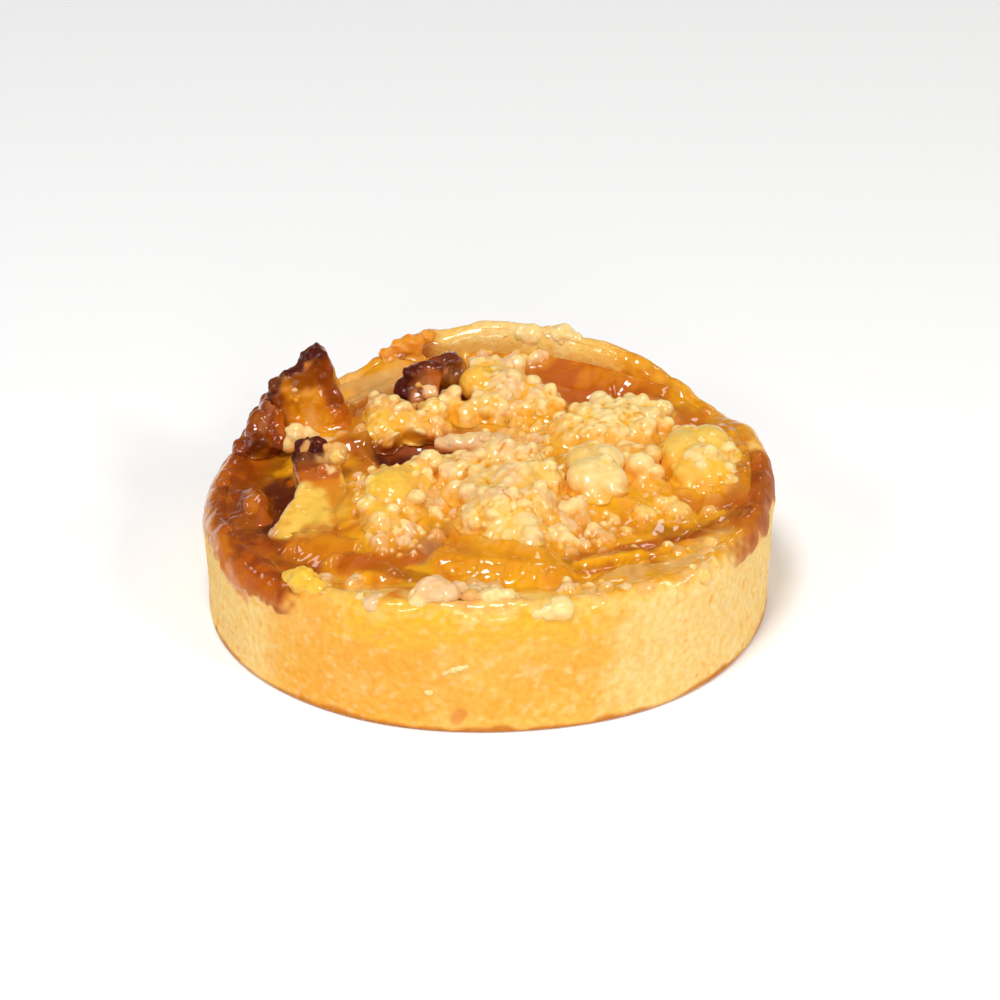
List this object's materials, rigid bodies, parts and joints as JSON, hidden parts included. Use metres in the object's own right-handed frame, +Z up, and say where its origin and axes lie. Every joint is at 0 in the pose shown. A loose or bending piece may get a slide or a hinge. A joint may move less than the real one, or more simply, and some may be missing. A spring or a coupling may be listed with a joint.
{
  "type": "apple tart",
  "caption": "Small round open apple tart: shortcrust case with an uneven rim, glazed apple and caramel filling, crumble clusters on top.",
  "frame": {"origin": "centre of the base, on the surface the tart stands on", "axes": "+Z up; -Y is the front, the side towards the camera in the picture; +X is to the right seen from the front"},
  "size_m": [0.0898, 0.0898, 0.0323],
  "materials": {
    "crust": "baked shortcrust, satin where egg-washed",
    "filling": "glossy caramel glaze",
    "apple": "glazed baked apple",
    "apple_burnt": "glazed apple with burnt edges",
    "apple_caramel": "apple under dark caramel",
    "crumble": "buttery crumble, glazed in places"
  },
  "bodies": {
    "root": {"crust": "crust", "filling": "filling", "apple_chunk_tall": "apple_burnt", "apple_wedge_left": "apple", "apple_slice_back": "apple_burnt", "apple_slice_clear": "apple", "apple_slice_front": "apple", "apple_flake": "apple", "apple_lump_pool": "apple_caramel", "apple_strip_rim": "apple_caramel", "crumble_back": "crumble", "crumble_left_mid": "crumble", "crumble_left_front": "crumble", "crumble_centre": "crumble", "crumble_right_back": "crumble", "crumble_pale": "crumble", "crumble_mid_right": "crumble", "crumble_large": "crumble"}
  },
  "joints": []
}
